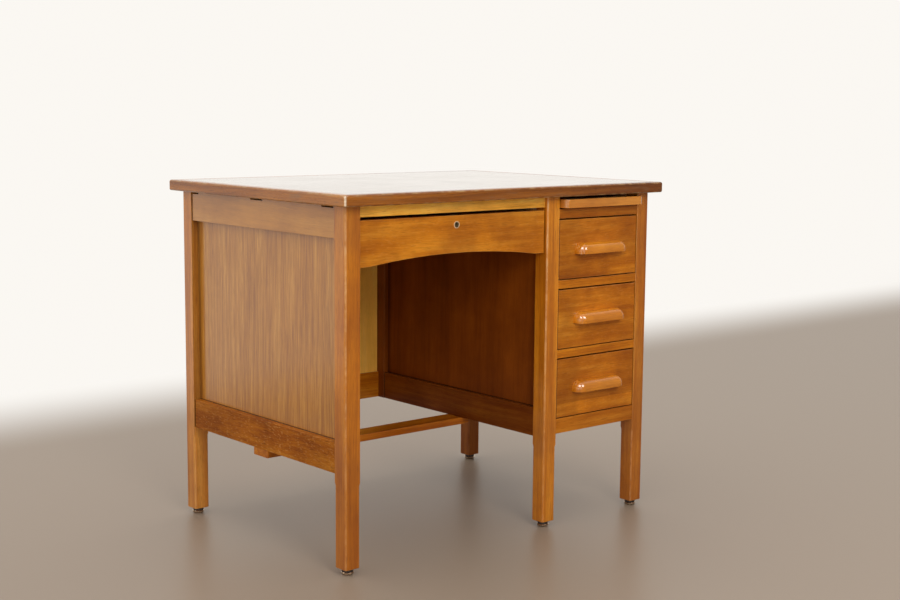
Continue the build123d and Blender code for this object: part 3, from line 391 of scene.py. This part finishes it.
def mitred_wood(name, seed, palette):
    """The desktop's lipping. Its grain runs along Y at the ends, and along X in front and behind."""
    material = bpy.data.materials.new(name)
    tree = Tree(material)
    low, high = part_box("top_edging")
    mitre = (high.x - low.x) / 2 - (high.y - low.y) / 2
    place = tree.place()
    parts = tree.parts(place)
    reach_x = tree.math("SUBTRACT", tree.math("ABSOLUTE", parts["X"]), mitre)
    reach_y = tree.math("ABSOLUTE", parts["Y"])
    at_end = tree.math("GREATER_THAN", reach_x, reach_y)

    looks = []
    for along in (WIDTH_AXIS, DEPTH_AXIS):
        space = grain_space(tree, along, seed + 3 * along)
        looks.append(figured_colour(tree, space, along, palette, LONG))
    (front_colour, front_pores, fibres), (end_colour, end_pores, _) = looks
    colour = tree.mix(at_end, front_colour, end_colour)
    pore_mask = tree.mix_numbers(at_end, front_pores, end_pores)

    # in front and behind it is darker towards the right, while its right end is only a little darker
    fade = tree.stretch(parts["X"], *EDGING_FADE, 1.0, EDGING_RIGHT_TONE)
    ends = tree.math("MULTIPLY", at_end, EDGING_END_TONE)
    colour = shaded(tree, colour, tree.math("MAXIMUM", fade, ends))

    # wiped with grey wear where hands and sleeves rub, and rubbed bare at its edges and corners; the pale
    # upright corners are also a painted highlight
    smears = tree.noise(place, SMEAR_SCALE, detail=4.0, roughness=0.62)
    colour = tree.mix(tree.stretch(smears, *SMEAR_RISE, 0.0, 0.55), colour, EDGING_SMEAR)
    rub = tree.noise(place, EDGING_RUB_SCALE, detail=3.0, roughness=0.6)
    pale_edges = tree.math("MULTIPLY", edge_mask(tree), tree.stretch(rub, *EDGING_RUB_RISE, 0.05, 0.75))
    colour = tree.mix(pale_edges, colour, EDGING_RUBBED)
    corner = tree.math("MULTIPLY", corner_mask(tree), tree.stretch(rub, *EDGING_CORNER_RISE, 0.2, 1.0))
    colour = tree.mix(corner, colour, BARE_AND_HIGHLIT_CORNER)

    gloss = tree.stretch(smears, *EDGING_GLOSS_RISE, 0.22, 0.36)
    bump = grain_bump(tree, fibres, pore_mask, 0.18, EDGING_RELIEF)
    tree.surface(colour, gloss, bump, {"Specular IOR Level": 0.2, "Coat Weight": 0.5, "Coat Roughness": 0.08})
    return material


# ------------------------------------------------------------ metals and rubber

def worn_metal(name, bright, dull, roughness, tarnish_scale, metallic):
    """Plated or cast metal with tarnish in patches and fine scratches."""
    material = bpy.data.materials.new(name)
    tree = Tree(material)
    place = tree.place()
    patches = tree.noise(place, tarnish_scale, detail=4.0, roughness=0.6)
    colour = tree.mix(tree.stretch(patches, *TARNISH_RISE), bright, dull)
    gloss = tree.stretch(patches, 0.35, 0.70, roughness, roughness + 0.25)
    scratches = tree.noise(place, SCRATCH_SCALE)
    tree.surface(colour, gloss, tree.bump(scratches, 0.15, SCRATCH_RELIEF), {"Metallic": metallic})
    return material


def old_rubber(name):
    """Dark brown rubber, chalky on its edges."""
    material = bpy.data.materials.new(name)
    tree = Tree(material)
    grain = tree.noise(tree.place(), RUBBER_SCALE, detail=3.0, roughness=0.6)
    dust = tree.math("MULTIPLY", edge_mask(tree), tree.stretch(grain, 0.4, 0.6, 0.1, 0.6))
    colour = tree.mix(dust, RUBBER_BODY, RUBBER_DUST)
    gloss = tree.stretch(grain, 0.3, 0.7, 0.55, 0.75)
    tree.surface(colour, gloss, tree.bump(grain, 0.3, RUBBER_RELIEF))
    return material


# --------------------------------------------------------------------- finishes

def paint(node, material):
    """Gives a CAD node one material in all its slots."""
    mesh = nodes[node].data
    if not mesh.materials:
        mesh.materials.append(material)
    for index in range(len(mesh.materials)):
        mesh.materials[index] = material


# node: (grain axis, palette, figure, tone, finish)
BOARDS = {
    "front_left_leg": (HEIGHT_AXIS, AMBER, LONG, 0.96, OLD_SATIN),
    "back_left_leg": (HEIGHT_AXIS, STRAW, LONG, 1.03, OLD_SATIN),
    "front_middle_leg": (HEIGHT_AXIS, AMBER, LONG, 1.15, OLD_SATIN),
    "front_right_leg": (HEIGHT_AXIS, HONEY, LONG, 0.95, OLD_SATIN),
    # the back right leg, seen through the kneehole, is darkened as painted shade
    "back_right_leg": (HEIGHT_AXIS, HONEY, LONG, 0.56, SATIN),
    "back_middle_post": (HEIGHT_AXIS, HONEY, LONG, 0.95, SATIN),
    "left_top_rail": (DEPTH_AXIS, TAN, QUIET, 1.14, SHEEN),
    "left_lower_rail": (DEPTH_AXIS, AMBER, RAYED, 0.74, DULL),
    "left_panel": (HEIGHT_AXIS, TAN, FINE, 1.06, SHEEN),
    "right_top_rail": (DEPTH_AXIS, TAN, QUIET, 1.00, SHEEN),
    "right_lower_rail": (DEPTH_AXIS, AMBER, RAYED, 0.80, DULL),
    "right_panel": (HEIGHT_AXIS, TAN, FINE, 1.00, SHEEN),
    # the inner rails are darkened, and the inner panel has the dark RUSSET palette, as painted shade in the
    # kneehole
    "inner_top_rail": (DEPTH_AXIS, HONEY, LONG, 0.50, DULL),
    "inner_lower_rail": (DEPTH_AXIS, HONEY, LONG, 0.42, DULL),
    "inner_panel": (HEIGHT_AXIS, RUSSET, QUIET, 1.05, DULL),
    "back_top_rails": (WIDTH_AXIS, HONEY, LONG, 1.00, SATIN),
    "back_lower_rails": (WIDTH_AXIS, HONEY, LONG, 0.96, SATIN),
    "modesty_panel": (HEIGHT_AXIS, TAN, FINE, 1.03, SATIN),
    "pedestal_back_panel": (HEIGHT_AXIS, TAN, FINE, 1.00, SATIN),
    "kneehole_front_rail": (WIDTH_AXIS, GOLD, MOTTLED, 1.06, SATIN),
    "slide_rail": (WIDTH_AXIS, HONEY, LONG, 0.76, SATIN),
    "drawer_dividers": (WIDTH_AXIS, AMBER, LONG, 1.10, SATIN),
    "pedestal_bottom_rail": (WIDTH_AXIS, HONEY, LONG, 0.98, SATIN),
    "foot_rail": (WIDTH_AXIS, HONEY, LONG, 1.02, SATIN),
    "centre_drawer_front": (WIDTH_AXIS, AMBER, MOTTLED, 0.97, SATIN),
    "upper_drawer_front": (WIDTH_AXIS, HONEY, MOTTLED, 0.95, SATIN),
    "middle_drawer_front": (WIDTH_AXIS, HONEY, MOTTLED, 1.10, SATIN),
    "lower_drawer_front": (WIDTH_AXIS, HONEY, MOTTLED, 0.92, SATIN),
    "slide_lip": (WIDTH_AXIS, STRAW, QUIET, 0.98, HANDLED),
    "slide_board": (WIDTH_AXIS, STRAW, LONG, 1.05, SATIN),
    "centre_drawer_sides": (DEPTH_AXIS, BIRCH, QUIET, 1.00, BARE),
    "centre_drawer_back": (WIDTH_AXIS, BIRCH, QUIET, 0.97, BARE),
    "centre_drawer_bottom": (WIDTH_AXIS, BIRCH, LONG, 1.03, BARE),
    "drawer_runners": (DEPTH_AXIS, BIRCH, LONG, 0.85, BARE),
    "centre_drawer_runners": (DEPTH_AXIS, BIRCH, LONG, 0.85, BARE),
    "slide_runners": (DEPTH_AXIS, BIRCH, LONG, 0.88, BARE),
    "slide_stop_batten": (WIDTH_AXIS, BIRCH, LONG, 0.85, BARE),
    "top_panel": (WIDTH_AXIS, OLIVE, VENEER, 1.00, POLISHED),
}
for level in ("lower", "middle", "upper"):
    BOARDS[f"{level}_drawer_pull"] = (WIDTH_AXIS, AMBER, QUIET, 1.14, HANDLED)
    BOARDS[f"{level}_drawer_box"] = (DEPTH_AXIS, BIRCH, QUIET, 1.00, BARE)
    BOARDS[f"{level}_drawer_bottom"] = (WIDTH_AXIS, BIRCH, LONG, 1.03, BARE)

# Every face but the back one of these boards gets another colour: painted light on the modesty panel's
# kneehole face, painted shade on the back middle post.
INSIDE = {"modesty_panel": (CREAM, QUIET), "back_middle_post": (RUSSET, LONG)}

EDGING_SEED = 95
EDGING_FADE = (-0.10, 0.42)     # where along X the front and back of the desktop's lipping darken
EDGING_RIGHT_TONE = 0.44        # the tone that they darken to
EDGING_END_TONE = 0.85          # and the darkest that an end has

SEAM = 0.0009                   # half the width of the narrowest dark seam
SEAM_CORE = 0.6                 # the share of a seam's half width that is fully dark
SEAM_FADE = 0.002               # the height over which seams begin, at the lower rails' undersides
BLACK = 0.85                    # strength of the dark seams: dirt in the joints, and painted shadow lines under the desktop and at the drawer fronts' left ends
PAINTED_SHADE = 0.45                   # and of the painted shade on whole faces in deep corners
FAINT = 0.15                    # and of the slightly darker left part of each pedestal drawer
LEG_SHADOW_WIDTH = 0.014            # of the band of painted shadow beside the back left leg
LEFT_DARK_WIDTH = 0.085           # of the darker left part of a pedestal drawer
STRIP_HEIGHT = 0.031            # of the paler piece glued to the bottom of the lowest drawer front
STRIP_TONE = 1.36
FOOT_SHADE_TONE = 0.80                # painted shade: whatever is near the floor is darker
FOOT_SHADE_HEIGHTS = (0.05, 0.45)          # the heights over which that painted shade fades out
FOOT_EDGE_SHARE = 0.35                # near the floor the pale edges, rubbed bare and painted highlight, are fainter than the rest
PALE_EDGE_HEIGHTS = (0.20, 0.60)      # the heights over which they grow paler


def board_seams():
    """Where the wood is darker: dirt in the joints round the panels, rails and drawer fronts, painted shadow
    lines under the desktop and at the drawer fronts' left ends, painted shade beside and on the back legs'
    corners, and a darker left part on each pedestal drawer.
    """
    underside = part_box("top_edging")[0].z
    front_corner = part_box("front_left_leg")[1].y
    back_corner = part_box("back_left_leg")[0].y
    seams = {}
    for side in ("left", "right", "inner"):
        lower_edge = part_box(f"{side}_lower_rail")[1].z
        upper_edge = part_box(f"{side}_top_rail")[0].z
        seams[f"{side}_panel"] = [
            (HEIGHT_AXIS, lower_edge, 3 * SEAM, BLACK),
            (HEIGHT_AXIS, upper_edge, SEAM, BLACK),
            (DEPTH_AXIS, front_corner, SEAM, BLACK),
            # a band of painted shadow, cast by the back leg on the recessed panel
            (DEPTH_AXIS, back_corner, LEG_SHADOW_WIDTH, PAINTED_SHADE),
        ]
        seams[f"{side}_top_rail"] = [
            # a painted shadow line under the desktop's overhang
            (HEIGHT_AXIS, underside, 2 * SEAM, BLACK),
            (DEPTH_AXIS, back_corner, 4 * SEAM, BLACK),
        ]
        seams[f"{side}_lower_rail"] = [(DEPTH_AXIS, back_corner, 4 * SEAM, BLACK)]
    for side in ("left", "right"):
        # painted shade on the back legs' fronts, in the recess beside the panels
        seams[f"back_{side}_leg"] = [(DEPTH_AXIS, back_corner, SEAM, PAINTED_SHADE)]
    for level in ("upper", "middle", "lower", "centre"):
        low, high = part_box(f"{level}_drawer_front")
        # a painted shadow line at each drawer front's left end, and a dark joint at its right end
        ends = [(WIDTH_AXIS, low.x, 2 * SEAM, BLACK), (WIDTH_AXIS, high.x, SEAM, BLACK)]
        if level != "centre":
            ends.append((WIDTH_AXIS, low.x, LEFT_DARK_WIDTH, FAINT))
        seams[f"{level}_drawer_front"] = ends
    return seams


def finish_wood():
    """Paints every board. Its place in BOARDS seeds its figure."""
    seams = board_seams()
    strips = {"lower_drawer_front": (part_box("lower_drawer_front")[0].z + STRIP_HEIGHT, STRIP_TONE)}
    for seed, (node, look) in enumerate(BOARDS.items(), start=1):
        along, *rest = look
        details = {"seams": seams.get(node, ()), "strip": strips.get(node), "inside": INSIDE.get(node)}
        paint(node, wood(node + "_wood", along, seed, *rest, **details))
    paint("top_edging", mitred_wood("edging_wood", EDGING_SEED, WALNUT))


# metal: (bright colour, dull colour, roughness, turns per metre of its tarnish, metallic)
METALS = {
    "worn_nickel": ((0.74, 0.60, 0.46), (0.24, 0.15, 0.08), 0.14, 260.0, 1.0),
    "rubbed_brass": ((0.98, 0.80, 0.54), (0.60, 0.40, 0.20), 0.34, 500.0, 0.3),
    "dark_brass": ((0.16, 0.12, 0.07), (0.05, 0.035, 0.02), 0.45, 420.0, 1.0),
    "plain_steel": ((0.50, 0.49, 0.47), (0.24, 0.20, 0.17), 0.34, 180.0, 1.0),
}
METAL_NODES = {
    "worn_nickel": ["glide_caps"],
    "rubbed_brass": ["escutcheon", "lock_bolt"],
    "dark_brass": ["lock_case", "lock_plug", "strike_plate"],
    "plain_steel": ["top_fasteners"] + [node for node in nodes if node.endswith("screws")],
}


def finish_metal_and_rubber():
    for name, look in METALS.items():
        material = worn_metal(name, *look)
        for node in METAL_NODES[name]:
            paint(node, material)
    paint("glide_cushions", old_rubber("brown_rubber"))


# ------------------------------------------------------------------------ stage

def camera():
    """A three-quarter view from the front left, a little above the desktop."""
    yaw, pitch, roll = CAMERA_YAW, CAMERA_PITCH, CAMERA_ROLL
    forward = Vector((math.sin(yaw) * math.cos(pitch), math.cos(yaw) * math.cos(pitch), math.sin(pitch)))
    level_right = Vector((math.cos(yaw), -math.sin(yaw), 0))
    level_up = level_right.cross(forward)
    right = level_right * math.cos(roll) + level_up * math.sin(roll)
    up = level_up * math.cos(roll) - level_right * math.sin(roll)
    data = bpy.data.cameras.new("camera")
    data.sensor_width = SENSOR_WIDTH
    data.lens = FOCAL_LENGTH
    made = bpy.data.objects.new("camera", data)
    turn = Matrix((right, up, -forward)).transposed().to_4x4()
    made.matrix_world = Matrix.Translation(CAMERA_PLACE) @ turn
    bpy.context.scene.collection.objects.link(made)
    bpy.context.scene.camera = made


def room_colour(tree, direction):
    """The room seen in a direction: bright behind and to the left, dim at the front right."""
    direction = tree.vector("NORMALIZE", direction, ORIGIN)
    towards_dim = tree.node("ShaderNodeVectorMath", {0: direction, 1: DIM_SIDE}, operation="DOT_PRODUCT")
    dimness = tree.stretch(towards_dim.outputs["Value"], DIM_START, DIM_END)
    return tree.mix(dimness, BACKDROP, DIM)


def floor():
    """A plain floor that turns into the backdrop away from the desk, as a studio sweep does."""
    mesh = bpy.data.meshes.new("floor")
    half = FLOOR_SIZE / 2
    corners = [(-half, -half, 0), (half, -half, 0), (half, half, 0), (-half, half, 0)]
    mesh.from_pydata(corners, [], [(0, 1, 2, 3)])
    made = bpy.data.objects.new("floor", mesh)
    bpy.context.scene.collection.objects.link(made)
    material = bpy.data.materials.new("floor")
    tree = Tree(material)
    place = tree.place()
    near = tree.node("ShaderNodeBsdfPrincipled", {
        "Base Color": FLOOR_COLOUR,
        "Roughness": FLOOR_ROUGHNESS,
        "Specular IOR Level": FLOOR_SPECULAR,
    })
    far = tree.node("ShaderNodeEmission", {"Color": room_colour(tree, place), "Strength": 1.0})
    distance = tree.node("ShaderNodeVectorMath", {0: place}, operation="LENGTH").outputs["Value"]
    sweep = tree.stretch(tree.parts(place)["Y"], SWEEP_START, SWEEP_END)
    fade = tree.math("MAXIMUM", sweep, tree.stretch(distance, FAR_START, FAR_END))
    blend = tree.node("ShaderNodeMixShader", {0: fade, 1: near.outputs[0], 2: far.outputs[0]})
    tree.finish(blend.outputs[0])
    mesh.materials.append(material)


def surroundings():
    """The light that comes from the room itself."""
    world = bpy.data.worlds.new("studio")
    bpy.context.scene.world = world
    tree = Tree(world)
    direction = tree.node("ShaderNodeTexCoord").outputs["Generated"]
    shader = tree.node("ShaderNodeBackground", {"Color": room_colour(tree, direction), "Strength": 1.0})
    tree.finish(shader.outputs["Background"], "ShaderNodeOutputWorld")


def lights():
    """Adds the softboxes, which the camera itself doesn't see."""
    for name, box in SOFTBOXES.items():
        data = bpy.data.lights.new(name, "AREA")
        data.shape = "RECTANGLE"
        data.size, data.size_y = box.size
        data.energy = box.power
        data.color = WARM_WHITE
        made = bpy.data.objects.new(name, data)
        made.visible_camera = False
        made.visible_diffuse = box.matt
        made.visible_glossy = box.shiny
        made.location = box.place
        facing = Vector(box.target) - Vector(box.place)
        made.rotation_euler = facing.to_track_quat("-Z", "Y").to_euler()
        bpy.context.scene.collection.objects.link(made)


finish_wood()
finish_metal_and_rubber()
camera()
floor()
surroundings()
lights()
bpy.context.scene.view_settings.view_transform = "Standard"
